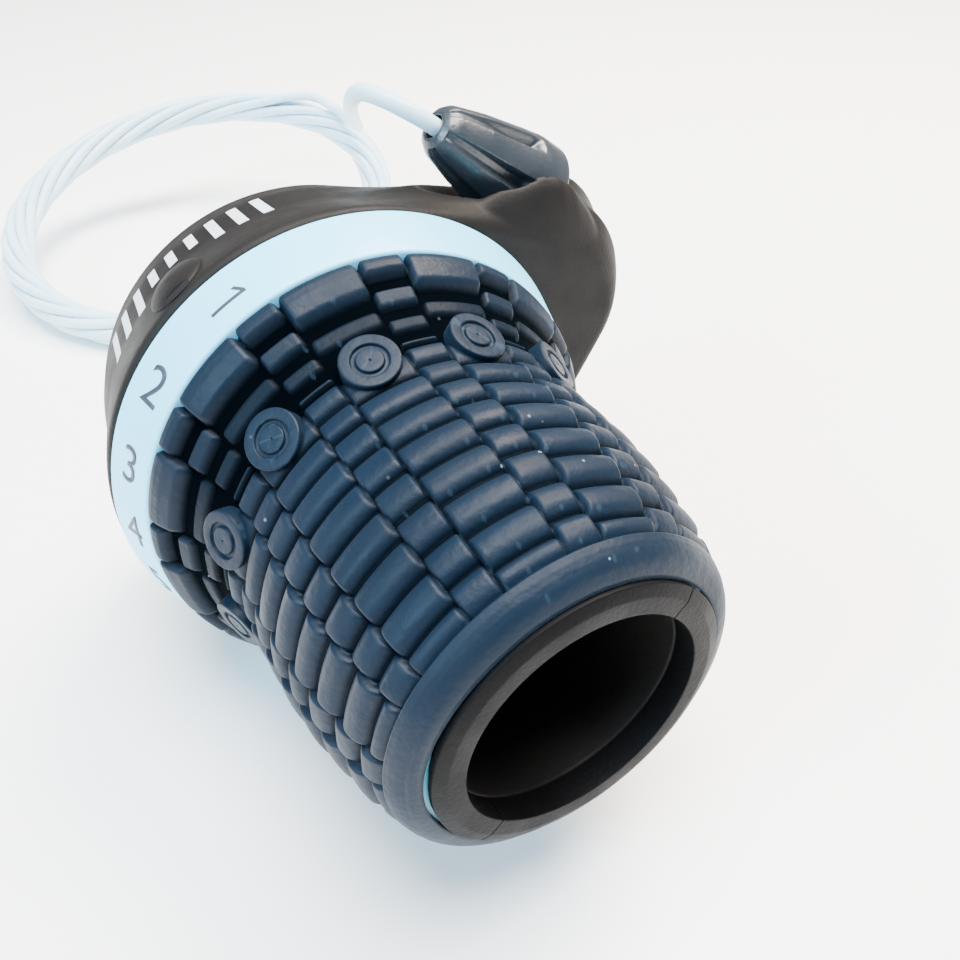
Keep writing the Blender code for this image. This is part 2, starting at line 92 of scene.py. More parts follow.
# housing outline stations: X, drum radius, horn centre Y, horn centre Z, horn radius
HOUSING_STATIONS = (
    (7.0, 20.5, 20.5, 7.7, 7.2),
    (8.0, 22.1, 21.2, 8.2, 8.0),
    (9.9, 23.4, 22.5, 9.1, 8.8),
    (14.0, 24.4, 24.4, 10.1, 9.8),
    (19.0, 25.1, 27.2, 12.2, 11.0),
    (22.0, 25.8, 25.9, 11.5, 11.0),
    (25.0, 26.5, 26.1, 10.4, 11.0),
    (27.6, 27.0, 25.5, 8.3, 9.8),
)

# points of the cable before and after its coil, as in the CAD model
STRAND_ROUTE = (
    (19.0, 16.94, 28.96), (19.0, 15.5, 30.1), (18.3, 13.2, 31.7), (16.2, 11.4, 32.7),
    (13.5, 10.5, 32.8), (10.9, 10.7, 32.0), (0.0, 14.4, 27.9), (-12.0, 19.0, 23.0),
    (-34.0, 28.5, 13.6), (-55.0, 37.4, 5.8), (-74.0, 44.6, -0.2), (-91.4, 48.1, -2.7),
)
TAIL_ROUTE = (
    (-47.5, -3.1, -25.8), (-45.9, 1.4, -26.2), (-42.0, 10.0, -26.4),
    (-36.0, 18.5, -26.4), (-28.0, 25.5, -26.4),
)


# ---------------------------------------------------------------- node material helpers
class Shader:
    """A small builder for a Principled material made of nodes."""

    def __init__(self, name):
        self.material = bpy.data.materials.new(name)
        self.material.use_nodes = True
        self.tree = self.material.node_tree
        self.principled = self.tree.nodes["Principled BSDF"]
        self.place = self.node("ShaderNodeTexCoord").outputs["Object"]

    def node(self, kind, **values):
        new_node = self.tree.nodes.new(kind)
        for name, value in values.items():
            setattr(new_node, name, value)
        return new_node

    def feed(self, socket, value):
        if isinstance(value, bpy.types.NodeSocket):
            self.tree.links.new(value, socket)
        else:
            socket.default_value = value

    def noise(self, scale, detail=2.0):
        new_node = self.node("ShaderNodeTexNoise")
        self.feed(new_node.inputs["Vector"], self.place)
        new_node.inputs["Scale"].default_value = scale
        new_node.inputs["Detail"].default_value = detail
        return new_node.outputs["Fac"]

    def spots(self, scale, size):
        """1 inside sparse round spots, 0 elsewhere."""
        cells = self.node("ShaderNodeTexVoronoi")
        self.feed(cells.inputs["Vector"], self.place)
        cells.inputs["Scale"].default_value = scale
        faded_out = size * 1.4
        return self.ramp(cells.outputs["Distance"], ((size, 1.0), (faded_out, 0.0)))

    def ramp(self, factor, stops):
        """Straight-line map from a factor to a value, held beyond its two (factor, value) stops."""
        new_node = self.node("ShaderNodeMapRange")
        self.feed(new_node.inputs["Value"], factor)
        for end, (at_factor, value) in zip(("Min", "Max"), stops):
            new_node.inputs["From " + end].default_value = at_factor
            new_node.inputs["To " + end].default_value = value
        return new_node.outputs["Result"]

    def product(self, a, b):
        new_node = self.node("ShaderNodeMath", operation="MULTIPLY")
        self.feed(new_node.inputs[0], a)
        self.feed(new_node.inputs[1], b)
        return new_node.outputs[0]

    def mix(self, factor, a, b):
        new_node = self.node("ShaderNodeMix", data_type="RGBA")
        self.feed(new_node.inputs["Factor"], factor)
        self.feed(new_node.inputs["A"], a)
        self.feed(new_node.inputs["B"], b)
        return new_node.outputs["Result"]

    def set(self, name, value):
        self.feed(self.principled.inputs[name], value)

    def bump(self, height, distance, under=None):
        """Normal of a texture that stands a distance in metres high, over another normal if given."""
        new_node = self.node("ShaderNodeBump")
        self.feed(new_node.inputs["Height"], height)
        new_node.inputs["Distance"].default_value = distance
        if under is not None:
            self.feed(new_node.inputs["Normal"], under)
        return new_node.outputs["Normal"]

    def edge(self, low, high):
        """1 on sharp outer edges, 0 on flat faces and in hollows."""
        pointiness = self.node("ShaderNodeNewGeometry").outputs["Pointiness"]
        return self.ramp(pointiness, ((low, 0.0), (high, 1.0)))


def rgb(red, green, blue):
    return (red, green, blue, 1.0)


def rubber_material():
    """Black rubber tinted blue as a painted reflection of blue sky, with painted shade in its grooves,
    painted highlights along its rib edges, and a little dust.
    """
    shader = Shader("ribbed_rubber")
    hollow = shader.node("ShaderNodeAttribute", attribute_name="hollow").outputs["Fac"]
    # the blue in these dark tones is a painted reflection of blue sky on black rubber
    tone = shader.mix(shader.noise(90, 4.0), rgb(0.0008, 0.0046, 0.0112), rgb(0.0024, 0.0096, 0.0210))
    # painted shade: the tone darkens towards the bottom of the grooves
    tone = shader.mix(hollow, tone, rgb(0.0002, 0.0006, 0.0011))
    # painted highlight: paler along the convex rib edges
    edge_highlight = shader.product(shader.edge(0.53, 0.62), 0.4)
    highlighted_tone = shader.mix(edge_highlight, tone, rgb(0.014, 0.032, 0.052))
    patches = shader.ramp(shader.noise(60), ((0.5, 0.0), (0.62, 1.0)))
    dust = shader.product(shader.spots(420, 0.055), patches)
    shader.set("Base Color", shader.mix(dust, highlighted_tone, rgb(0.10, 0.13, 0.16)))
    shader.set("Roughness", shader.ramp(shader.noise(160, 3.0), ((0.3, 0.44), (0.7, 0.60))))
    shader.set("Specular IOR Level", shader.ramp(hollow, ((0.0, 0.13), (1.0, 0.0))))
    shader.set("Sheen Weight", 0.012)
    shader.set("Sheen Tint", rgb(0.45, 0.70, 1.0))
    shader.set("Sheen Roughness", 0.5)
    grain = shader.bump(shader.noise(1500, 3.0), 0.00006)
    shader.set("Normal", shader.bump(shader.noise(260, 2.0), 0.00012, under=grain))
    return shader.material


def plastic_material(name, dark, light, roughness, shine):
    """Moulded plastic with a mottled tone, uneven roughness and a fine grain."""
    shader = Shader(name)
    shader.set("Base Color", shader.mix(shader.noise(70, 3.0), dark, light))
    smoother = roughness - 0.05
    rougher = roughness + 0.08
    shader.set("Roughness", shader.ramp(shader.noise(220, 3.0), ((0.3, smoother), (0.7, rougher))))
    shader.set("Specular IOR Level", shine)
    shader.set("Normal", shader.bump(shader.noise(2600, 2.0), 0.00004))
    return shader.material


def white_plastic_material():
    shader = Shader("ring_white")
    # the strong cyan in this white ring's base colour is painted cyan light
    tone = shader.mix(shader.noise(40, 2.0), rgb(0.13, 0.64, 0.95), rgb(0.19, 0.71, 1.0))
    shader.set("Base Color", tone)
    shader.set("Roughness", shader.ramp(shader.noise(200, 2.0), ((0.3, 0.32), (0.7, 0.42))))
    shader.set("Subsurface Weight", 0.15)
    shader.set("Subsurface Radius", (0.4, 0.6, 0.8))
    shader.set("Subsurface Scale", 0.001)
    shader.set("Normal", shader.bump(shader.noise(1800, 2.0), 0.00002))
    return shader.material


def liner_material():
    shader = Shader("cable_liner")
    tone = shader.mix(shader.noise(120, 3.0), rgb(0.46, 0.74, 0.95), rgb(0.72, 0.90, 1.0))
    shader.set("Base Color", tone)
    shader.set("Roughness", shader.ramp(shader.noise(300, 2.0), ((0.3, 0.26), (0.7, 0.38))))
    shader.set("Subsurface Weight", 0.5)
    shader.set("Subsurface Radius", (0.8, 0.9, 1.0))
    shader.set("Subsurface Scale", 0.0012)
    shader.set("Transmission Weight", 0.12)
    shader.set("IOR", 1.38)
    return shader.material


def zinc_material():
    shader = Shader("brushed_zinc")
    tone = shader.mix(shader.noise(150, 3.0), rgb(0.42, 0.42, 0.43), rgb(0.62, 0.62, 0.62))
    shader.set("Base Color", tone)
    shader.set("Metallic", 1.0)
    shader.set("Roughness", shader.ramp(shader.noise(500, 3.0), ((0.3, 0.25), (0.7, 0.42))))
    shader.set("Normal", shader.bump(shader.noise(1400, 2.0), 0.00002))
    return shader.material


def ink_material(name, colour):
    shader = Shader(name)
    faded = rgb(*(value * 0.75 for value in colour))
    shader.set("Base Color", shader.mix(shader.noise(700, 3.0), rgb(*colour), faded))
    shader.set("Roughness", 0.5)
    return shader.material


RUBBER = rubber_material()
HOUSING_BLACK = plastic_material(
    "housing_black", rgb(0.0050, 0.0048, 0.0048), rgb(0.0100, 0.0092, 0.0088), roughness=0.56, shine=0.11)
END_BLACK = plastic_material(
    "end_ring_black", rgb(0.0015, 0.0015, 0.0018), rgb(0.0030, 0.0030, 0.0034), roughness=0.52, shine=0.06)
KNOB_BLACK = plastic_material(
    "knob_black", rgb(0.012, 0.017, 0.023), rgb(0.022, 0.029, 0.037), roughness=0.30, shine=0.6)
ACETAL_GREY = plastic_material(
    "acetal_grey", rgb(0.28, 0.28, 0.29), rgb(0.36, 0.36, 0.37), roughness=0.45, shine=0.4)
RING_WHITE = white_plastic_material()
LINER_WHITE = liner_material()
ZINC = zinc_material()
DIGIT_GREY = ink_material("digit_grey", (0.018, 0.024, 0.040))
MARK_PALE = ink_material("mark_pale", (0.62, 0.68, 0.74))


# ---------------------------------------------------------------- shape helpers
def add_object(name, data):
    new_object = bpy.data.objects.new(name, data)
    bpy.context.scene.collection.objects.link(new_object)
    return new_object


def add_piece(name, mesh, material, body):
    piece = add_object(name, mesh)
    mesh.materials.append(material)
    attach(piece, body)
    return piece


def mesh_from(name, shape):
    """New mesh with what a bmesh holds; the bmesh is freed."""
    mesh = bpy.data.meshes.new(name)
    shape.to_mesh(mesh)
    shape.free()
    return mesh


def sharpen(mesh, sharp_deg):
    """Smooth shading, but for the edges that turn by more than an angle."""
    mesh.shade_smooth()
    mesh.set_sharp_from_angle(angle=math.radians(sharp_deg))


def grid_mesh(name, rows, closed_rows=True):
    """Mesh from equal rows of points in millimetres, each a loop; closed, the last row joins the first."""
    rows = np.asarray(rows, dtype=float)
    row_count, sides, _ = rows.shape
    points = rows.reshape(-1, 3) * MM
    index = np.arange(row_count * sides).reshape(row_count, sides)
    following = np.roll(index, -1, axis=0) if closed_rows else index[1:]
    current = index if closed_rows else index[:-1]
    corners = [current, np.roll(current, -1, axis=1), np.roll(following, -1, axis=1), following]
    faces = np.stack(corners, axis=-1).reshape(-1, 4)
    mesh = bpy.data.meshes.new(name)
    mesh.from_pydata(points.tolist(), [], faces.tolist())
    mesh.validate()
    shape = bmesh.new()
    shape.from_mesh(mesh)
    bmesh.ops.recalc_face_normals(shape, faces=shape.faces)
    if shape.calc_volume(signed=True) < 0:
        bmesh.ops.reverse_faces(shape, faces=shape.faces)
    shape.to_mesh(mesh)
    shape.free()
    mesh.shade_smooth()
    return mesh


def capped_mesh(name, rows):
    """Mesh from equal rows of points, each row a loop, with a flat face on the first and the last."""
    mesh = grid_mesh(name, rows, closed_rows=False)
    shape = bmesh.new()
    shape.from_mesh(mesh)
    bmesh.ops.holes_fill(shape, edges=[edge for edge in shape.edges if edge.is_boundary])
    bmesh.ops.recalc_face_normals(shape, faces=shape.faces)
    shape.to_mesh(mesh)
    shape.free()
    return mesh


def rounded(outline, radius):
    """The closed outline with its corners rounded to at most a radius."""
    steps = 4
    points = [Vector(point) for point in outline]
    result = []
    for i, corner in enumerate(points):
        before = points[i - 1] - corner
        after = points[(i + 1) % len(points)] - corner
        reach = min(radius, before.length * 0.45, after.length * 0.45)
        start = corner + before.normalized() * reach
        end = corner + after.normalized() * reach
        for step in range(steps + 1):
            share = step / steps
            result.append(start.lerp(corner, share).lerp(corner.lerp(end, share), share))
    return result


def turned_mesh(name, outline, sides, origin=Vector(), axis=BAR_AXIS):
    """Closed outline of (along, radius) turned about the bar, or about another axis."""
    angles = np.linspace(0, 2 * math.pi, sides, endpoint=False)
    first = axis.orthogonal().normalized()
    second = axis.cross(first)
    ring = np.outer(np.cos(angles), np.array(first)) + np.outer(np.sin(angles), np.array(second))
    rows = [np.array(origin + axis * along) + ring * radius for along, radius in outline]
    mesh = grid_mesh(name, rows)
    sharpen(mesh, 60)
    return mesh


def cylinder_tool(name, start, end, radius, sides=64):
    """Cylinder between two points that only serves to cut or join another object."""
    start = Vector(start)
    end = Vector(end)
    shape = bmesh.new()
    bmesh.ops.create_cone(
        shape, cap_ends=True, segments=sides, radius1=radius * MM, radius2=radius * MM,
        depth=(end - start).length * MM)
    turn = (end - start).to_track_quat("Z", "Y").to_matrix().to_4x4()
    bmesh.ops.transform(shape, matrix=Matrix.Translation((start + end) / 2 * MM) @ turn, verts=shape.verts)
    return add_object(name, mesh_from(name, shape))


def box_tool(name, low, high, bevel=0.0):
    """Box between two corners that only serves to cut or join another object."""
    low = Vector(low) * MM
    high = Vector(high) * MM
    shape = bmesh.new()
    bmesh.ops.create_cube(shape, size=1.0)
    size = Matrix.Diagonal((*(high - low), 1.0))
    bmesh.ops.transform(shape, matrix=Matrix.Translation((low + high) / 2) @ size, verts=shape.verts)
    if bevel:
        bmesh.ops.bevel(
            shape, geom=shape.edges[:], offset=bevel * MM, segments=4, profile=0.5, affect="EDGES")
    return add_object(name, mesh_from(name, shape))


def apply_modifiers(target):
    evaluated = target.evaluated_get(bpy.context.evaluated_depsgraph_get())
    mesh = bpy.data.meshes.new_from_object(evaluated)
    target.modifiers.clear()
    target.data = mesh


def combine(target, steps):
    """Boolean steps of (operation, tool), applied in order; the tools are removed."""
    for operation, other in steps:
        modifier = target.modifiers.new(other.name, "BOOLEAN")
        modifier.operation = operation
        modifier.solver = "EXACT"
        modifier.object = other
    apply_modifiers(target)
    for _, other in steps:
        bpy.data.objects.remove(other, do_unlink=True)


def soften(target, voxel, rounds):
    """Moulded look: an even mesh whose edges are rounded by smoothing."""
    remesh = target.modifiers.new("Remesh", "REMESH")
    remesh.mode = "VOXEL"
    remesh.voxel_size = voxel * MM
    smooth = target.modifiers.new("Smooth", "SMOOTH")
    smooth.factor = 0.5
    smooth.iterations = rounds
    apply_modifiers(target)
    target.data.shade_smooth()


def on_adjuster(distance):
    """Point on the adjuster's axis, by its distance from the housing."""
    return ADJUSTER_BASE + ADJUSTER_AXIS * distance


def around_bar(x, radius, phi_deg):
    """Point by its angle from +Z towards -Y, as the dial is read."""
    phi = math.radians(phi_deg)
    return Vector((x, -radius * math.sin(phi), radius * math.cos(phi)))


def smooth_route(route, spacing):
    """Evenly spaced points on a centripetal Catmull-Rom curve through the route."""
    knots = [Vector(point) for point in route]
    knots = [2 * knots[0] - knots[1]] + knots + [2 * knots[-1] - knots[-2]]
    fine = []
    samples = 24
    for i in range(1, len(knots) - 2):
        p0, p1, p2, p3 = knots[i - 1:i + 3]
        t1 = (p1 - p0).length ** 0.5
        t2 = t1 + (p2 - p1).length ** 0.5
        t3 = t2 + (p3 - p2).length ** 0.5
        for step in range(samples):
            t = t1 + (t2 - t1) * step / samples
            a1 = p0 * ((t1 - t) / t1) + p1 * (t / t1)
            a2 = p1 * ((t2 - t) / (t2 - t1)) + p2 * ((t - t1) / (t2 - t1))
            a3 = p2 * ((t3 - t) / (t3 - t2)) + p3 * ((t - t2) / (t3 - t2))
            b1 = a1 * ((t2 - t) / t2) + a2 * (t / t2)
            b2 = a2 * ((t3 - t) / (t3 - t1)) + a3 * ((t - t1) / (t3 - t1))
            fine.append(b1 * ((t2 - t) / (t2 - t1)) + b2 * ((t - t1) / (t2 - t1)))
    fine.append(knots[-2])
    reached = [0.0]
    for previous, current in zip(fine, fine[1:]):
        reached.append(reached[-1] + (current - previous).length)
    count = max(3, round(reached[-1] / spacing))
    even = []
    place = 0
    for step in range(count + 1):
        wanted = reached[-1] * step / count
        while place < len(fine) - 2 and reached[place + 1] < wanted:
            place += 1
        share = (wanted - reached[place]) / (reached[place + 1] - reached[place])
        even.append(fine[place].lerp(fine[place + 1], min(share, 1.0)))
    return even


def ease(share):
    """Smooth step from 0 to 1, for a number or an array."""
    share = np.clip(share, 0.0, 1.0)
    return share * share * (3 - 2 * share)


# ---------------------------------------------------------------- camera
CAMERA_PLACE = Vector((106.5, -28.6, 61.6))
CAMERA_BACK = Vector((0.656, -0.398, 0.642))
CAMERA_RIGHT = Vector((0.519, 0.855, 0.0))


def make_camera():
    camera_data = bpy.data.cameras.new("camera")
    camera = add_object("camera", camera_data)
    camera_data.sensor_width = 36.0
    camera_data.lens = 33.8
    camera_data.shift_x = -0.026
    camera_data.shift_y = 0.0104
    camera_data.clip_start = 0.005
    camera_data.clip_end = 20.0
    back = CAMERA_BACK.normalized()
    up = back.cross(CAMERA_RIGHT.normalized()).normalized()
    right = up.cross(back).normalized()
    turn = Matrix((right, up, back)).transposed().to_4x4()
    camera.matrix_world = Matrix.Translation(CAMERA_PLACE * MM) @ turn
    bpy.context.scene.camera = camera


# ---------------------------------------------------------------- cable
def coil_point(theta_deg, outwards, upwards):
    """Point beside the coil's circle, outwards in its plane and upwards out of it."""
    across = Vector((0, 1, 0)).cross(COIL_NORMAL).normalized()
    second = COIL_NORMAL.cross(across)
    theta = math.radians(theta_deg)
    outward = across * math.cos(theta) + second * math.sin(theta)
    return COIL_CENTRE + outward * (COIL_RADIUS + outwards) + COIL_NORMAL * upwards


def coil_turns():
    """Seven strands side by side round a hollow core, twisting three times a turn."""
    strands = 7
    twists = 3
    clearance = 1.02
    slot_radius = CABLE_DIAMETER * clearance / 2 / math.sin(math.pi / strands)
    start_out, start_up = 0.8, 4.4
    end_out, end_up = 4.3, -1.2
    joining_deg = 40.0
    leaving_deg = 24.0
    advance = twists + 1 / strands
    start_slot = math.degrees(math.atan2(start_up, start_out))
    end_slot = math.degrees(math.atan2(end_up, end_out))
    turned_by = advance * (COIL_END_DEG - COIL_START_DEG)
    slot_zero = end_slot - turned_by
    start_shift = (start_slot - slot_zero + 180) % 360 - 180
    start_reach = math.hypot(start_out, start_up)
    end_reach = math.hypot(end_out, end_up)
    points = []
    step_deg = 4.0
    count = round((COIL_END_DEG - COIL_START_DEG) / step_deg)
    for i in range(1, count):
        theta = COIL_START_DEG + (COIL_END_DEG - COIL_START_DEG) * i / count
        begun = (theta - COIL_START_DEG) / joining_deg
        left = (COIL_END_DEG - theta) / leaving_deg
        # the strand first turns to its slot, then closes in on it
        reach = slot_radius
        reach += (start_reach - slot_radius) * (1 - ease((begun - 0.3) / 0.7))
        reach += (end_reach - slot_radius) * (1 - ease(left))
        slot = slot_zero + advance * (theta - COIL_START_DEG) + start_shift * (1 - ease(begun / 0.4))
        slot = math.radians(slot)
        points.append(coil_point(theta, reach * math.cos(slot), reach * math.sin(slot)))
    return points


def make_cable():
    strand = smooth_route(STRAND_ROUTE, ROUTE_SPACING)
    points = strand + coil_turns() + smooth_route(TAIL_ROUTE, TAIL_SPACING)
    curve = bpy.data.curves.new("cable", "CURVE")
    curve.dimensions = "3D"
    curve.bevel_depth = CABLE_DIAMETER / 2 * MM
    curve.bevel_resolution = 4
    curve.use_fill_caps = True
    spline = curve.splines.new("POLY")
    spline.points.add(len(points) - 1)
    for spline_point, point in zip(spline.points, points):
        spline_point.co = (*(point * MM), 1.0)
    curve.materials.append(LINER_WHITE)
    cable = add_object("cable", curve)
    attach(cable, "housing")
    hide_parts("cable_strand", "cable_coil", "cable_tail")


# ---------------------------------------------------------------- grip rubber
# wide and narrow columns of pads alternate round the grip; angles in degrees
COLUMN_PERIOD = 30.0
WIDE_CENTRE = 11.0
WIDE_HALF = 9.5

# outer surface over the rib tops: X from the grip's end, radius
RUBBER_OUTLINE = (
    (-38.1, 24.8), (-37.3, 24.7), (-36.5, 24.4), (-35.5, 23.8), (-34.5, 23.2), (-33.5, 22.6),
    (-32.5, 22.1), (-31.5, 21.65), (-30.5, 21.2), (-29.5, 20.9), (-28.5, 20.6), (-27.5, 20.3),
    (-26.5, 20.1), (-25.0, 19.95), (-22.0, 19.9), (-16.8, 19.8), (-12.0, 19.3), (-9.3, 18.7),
    (-5.0, 17.8), (-3.0, 17.0), (-2.2, 16.7), (-1.7, 16.4), (-1.3, 16.05), (-1.0, 15.65),
    (-0.8, 15.2), (-0.65, 14.75), (-0.55, 14.2),
)
VALLEY_DEPTH = 1.7
GROOVE_DEPTH = 1.15
RIBS_START = -29.3
PAD_DETAIL = 0.12

# smooth band between the last ribs and the grip's end, and how far it lies under the rib tops
BAND_START = -3.1
BAND_FULL = -2.8
BAND_DEPTH = 0.1
LIP_START = -3.0
LIP_BACK = GRIP_END - 1.25
LIP_BITE_DEG = 78.0
RUBBER_INNER_RADIUS = 15.65

# raised pads down a wide column and down a narrow one: first X, last X, depth of the pad's top
WIDE_PADS = (
    (-38.4, -34.7, 0.0), (-33.9, -32.0, 0.75), (-29.0, -25.9, 0.45), (-25.85, -22.4, 0.0),
    (-22.4, -18.8, 0.0), (-18.8, -15.1, 0.0), (-15.1, -11.6, 0.0), (-11.6, -8.2, 0.0),
    (-8.2, -4.8, 0.0), (-4.8, -2.9, 0.15),
)
NARROW_PADS = (
    (-38.4, -36.2, 0.0), (-35.3, -33.4, 0.5), (-32.6, -30.9, 0.7), (-30.1, -29.4, 0.6),
    (-29.2, -26.8, 0.25), (-26.8, -23.9, 0.12), (-23.9, -20.3, 0.12), (-20.3, -16.4, 0.12),
    (-16.4, -12.9, 0.12), (-12.9, -9.3, 0.12), (-9.3, -6.0, 0.12), (-6.0, -2.9, 0.15),
)


def quarter_round(distance, reach):
    """Height of a rounded shoulder, from 0 at its foot to 1 where it meets the top."""
    share = np.clip(distance / reach, 0.0, 1.0)
    return np.sqrt(np.maximum(1 - (1 - share) ** 2, 0.0))


def block_height(x, side_distance, first, last, shoulder, corner):
    """Height of a block with rounded corners and shoulders."""
    along = np.minimum(x - first, last - x)
    reach = min(corner, (last - first) * 0.45)
    past_corner = np.hypot(np.maximum(reach - along, 0.0), np.maximum(reach - side_distance, 0.0))
    in_corner = (along < reach) & (side_distance < reach)
    inwards = np.where(in_corner, reach - past_corner, np.minimum(along, side_distance))
    return quarter_round(inwards, shoulder)


def rib_height(x, side_distance, first, last):
    """Height of a rolled rib, which is fullest a little past its middle."""
    lean, fullness, flatness = 1.2, 2.6, 0.7
    side_reach = 0.45
    down_rib = np.clip((x - first) / (last - first), 0.0, 1.0)
    dome = (1 - np.abs(2 * down_rib ** lean - 1) ** fullness) ** flatness
    return dome * quarter_round(side_distance, side_reach)


def pad_depth(x, side_distance, pads, shoulder, corner):
    """Depth below the outline: blocks next to the ring, then ribs down to the end."""
    depth = np.where(x < RIBS_START, VALLEY_DEPTH, GROOVE_DEPTH)
    for first, last, top in pads:
        if first > RIBS_START:
            low = GROOVE_DEPTH
            height = rib_height(x, side_distance, first, last)
        else:
            low = VALLEY_DEPTH
            height = block_height(x, side_distance, first, last, shoulder, corner)
        depth = np.minimum(depth, low + (top - low) * height)
    return depth


def rubber_surface(x, phi):
    """Outer radius, and how far into a hollow from 0 to 1, which sets the painted shade, at an X from the
    grip's end and an angle.
    """
    outline_x = [point[0] for point in RUBBER_OUTLINE]
    outline_r = [point[1] for point in RUBBER_OUTLINE]
    top = np.interp(x, outline_x, outline_r)
    offset = (phi - WIDE_CENTRE + COLUMN_PERIOD / 2) % COLUMN_PERIOD - COLUMN_PERIOD / 2
    to_seam = (WIDE_HALF - np.abs(offset)) * math.radians(1.0) * top
    wide = pad_depth(x, np.maximum(to_seam, 0.0), WIDE_PADS, shoulder=0.62, corner=0.75)
    narrow = pad_depth(x, np.maximum(-to_seam, 0.0), NARROW_PADS, shoulder=0.55, corner=0.6)
    depth = np.where(to_seam > 0, wide, narrow)
    band = ease((x - BAND_START) / (BAND_FULL - BAND_START))
    depth = depth * (1 - band) + BAND_DEPTH * band
    # painted shade runs from none at the first depth under the rib tops to full at the second
    lit_depth, dark_depth = 0.3, 1.2
    return top - depth, ease((depth - lit_depth) / (dark_depth - lit_depth))


def ring_points(x, radius, angle):
    """Points round the bar from arrays, or numbers, of distance, radius and angle from +Z towards -Y."""
    return np.stack(np.broadcast_arrays(x, -radius * np.sin(angle), radius * np.cos(angle)), axis=-1)


def make_rubber():
    """Skin of the grip; its attribute says how far each point lies in a hollow, for the painted shade in the
    grooves.
    """
    sides = 840
    first_x = RUBBER_OUTLINE[0][0]
    last_x = RUBBER_OUTLINE[-1][0]
    pads_x = np.arange(first_x + 0.1, LIP_START, PAD_DETAIL)
    outer_x = np.concatenate([[first_x], pads_x, np.linspace(LIP_START, last_x, 26)])
    phi = np.linspace(0, 360, sides, endpoint=False)
    grid_x, grid_phi = np.meshgrid(outer_x, phi, indexing="ij")
    radius, hollow = rubber_surface(grid_x, grid_phi)
    angle = np.radians(grid_phi)
    turn = angle[0]

    # the end lip closes over the white rim, except for a shallow bite that shows it as a crescent
    bite_depth = 0.45
    bite_sharpness = 7
    bite_start, bite_full = -1.2, -0.7
    towards_bite = np.clip(np.cos(angle - math.radians(LIP_BITE_DEG)), 0.0, 1.0)
    bite = bite_depth * towards_bite ** bite_sharpness
    radius = radius + bite * ease((grid_x - bite_start) / (bite_full - bite_start))

    outer = ring_points(grid_x + GRIP_END, radius, angle)
    boss_x, boss_radius = 31.4, 22.6
    seat_x, seat_radius = 33.85, 22.7
    inner = [
        ring_points(LIP_BACK, radius[-1], turn),
        ring_points(LIP_BACK, RUBBER_INNER_RADIUS, turn),
        ring_points(boss_x, RUBBER_INNER_RADIUS, turn),
        ring_points(boss_x, boss_radius, turn),
        ring_points(seat_x, seat_radius, turn),
    ]
    mesh = grid_mesh("grip_rubber_skin", np.concatenate([outer, inner]))
    # the inner faces count as hollow, in full painted shade
    hollows = np.ones(len(mesh.vertices), dtype=np.float32)
    hollows[:hollow.size] = hollow.ravel()
    mesh.attributes.new("hollow", "FLOAT", "POINT").data.foreach_set("value", hollows)
    skin = add_piece("grip_rubber_skin", mesh, RUBBER, "grip")
    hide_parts("grip_rubber")


def make_buttons():
    """Twelve round buttons in the valley, one in each wide column, with a plain ring mark."""
    outline = rounded((
        (0.0, 0.02), (-2.2, 0.02), (-2.2, 2.8), (0.0, 2.8), (0.0, 1.75), (-0.3, 1.7), (-0.3, 1.3),
        (0.0, 1.25)), 0.22)
    from_end = 28.5
    face_radius = 20.85
    tilt = math.radians(20)
    merged = bmesh.new()
    for k in range(round(360 / COLUMN_PERIOD)):
        phi = WIDE_CENTRE + COLUMN_PERIOD * k
        normal = around_bar(0.0, 1.0, phi) * math.cos(tilt) + BAR_AXIS * math.sin(tilt)
        centre = around_bar(GRIP_END - from_end, face_radius, phi)
        merged.from_mesh(turned_mesh("button", outline, sides=64, origin=centre, axis=normal))
    mesh = mesh_from("grip_buttons", merged)
    mesh.shade_smooth()
    buttons = add_piece("grip_buttons", mesh, RUBBER, "grip")


# ---------------------------------------------------------------- numbered ring and barrel
def ring_radius(x):
    """Radius of the numbered cone."""
    share = (x - RING_BACK) / (RING_FRONT - RING_BACK)
    return RING_BACK_RADIUS + (RING_FRONT_RADIUS - RING_BACK_RADIUS) * share


def make_barrel():
    """The ring with the numbers and the tube behind the rubber, in one piece."""
    recess_x = 31.0
    recess_radius = 23.0
    outline = rounded((
        (BARREL_END, BARREL_RADIUS), (recess_x, BARREL_RADIUS), (recess_x, recess_radius),
        (RING_FRONT, recess_radius), (RING_FRONT, RING_FRONT_RADIUS), (RING_BACK, RING_BACK_RADIUS),
        (RING_BACK, BARREL_BORE_RADIUS), (BARREL_END, BARREL_BORE_RADIUS)), 0.35)
    mesh = turned_mesh("twist_barrel_fine", outline, sides=360)
    barrel = add_piece("twist_barrel_fine", mesh, RING_WHITE, "grip")
    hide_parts("twist_barrel")


def digit_shape(number):
    """Flat figure of one number; the one is drawn with a flag, the others come from the font."""
    shape = bmesh.new()
    if number == 1:
        corner = [shape.verts.new((u, v, 0.0)) for u, v in (
            (0, 0), (0.06, 0), (0.06, 0.7), (0, 0.7), (0, 0.63), (-0.16, 0.58), (-0.16, 0.51))]
        shape.faces.new((corner[0], corner[1], corner[2], corner[4]))
        shape.faces.new((corner[4], corner[2], corner[3]))
        shape.faces.new((corner[4], corner[3], corner[5], corner[6]))
    else:
        curve = bpy.data.curves.new(f"digit_{number}", "FONT")
        curve.body = str(number)
        curve.size = 1.0
        curve.offset = -0.004
        curve.resolution_u = 6
        curve.fill_mode = "FRONT"
        source = add_object(f"digit_source_{number}", curve)
        evaluated = source.evaluated_get(bpy.context.evaluated_depsgraph_get())
        shape.from_mesh(bpy.data.meshes.new_from_object(evaluated))
        bpy.data.objects.remove(source, do_unlink=True)
    # long edges are divided so that they can follow the cone
    long_edges = [edge for edge in shape.edges if edge.calc_length() > 0.2]
    bmesh.ops.subdivide_edges(shape, edges=long_edges, cuts=3)
    return shape


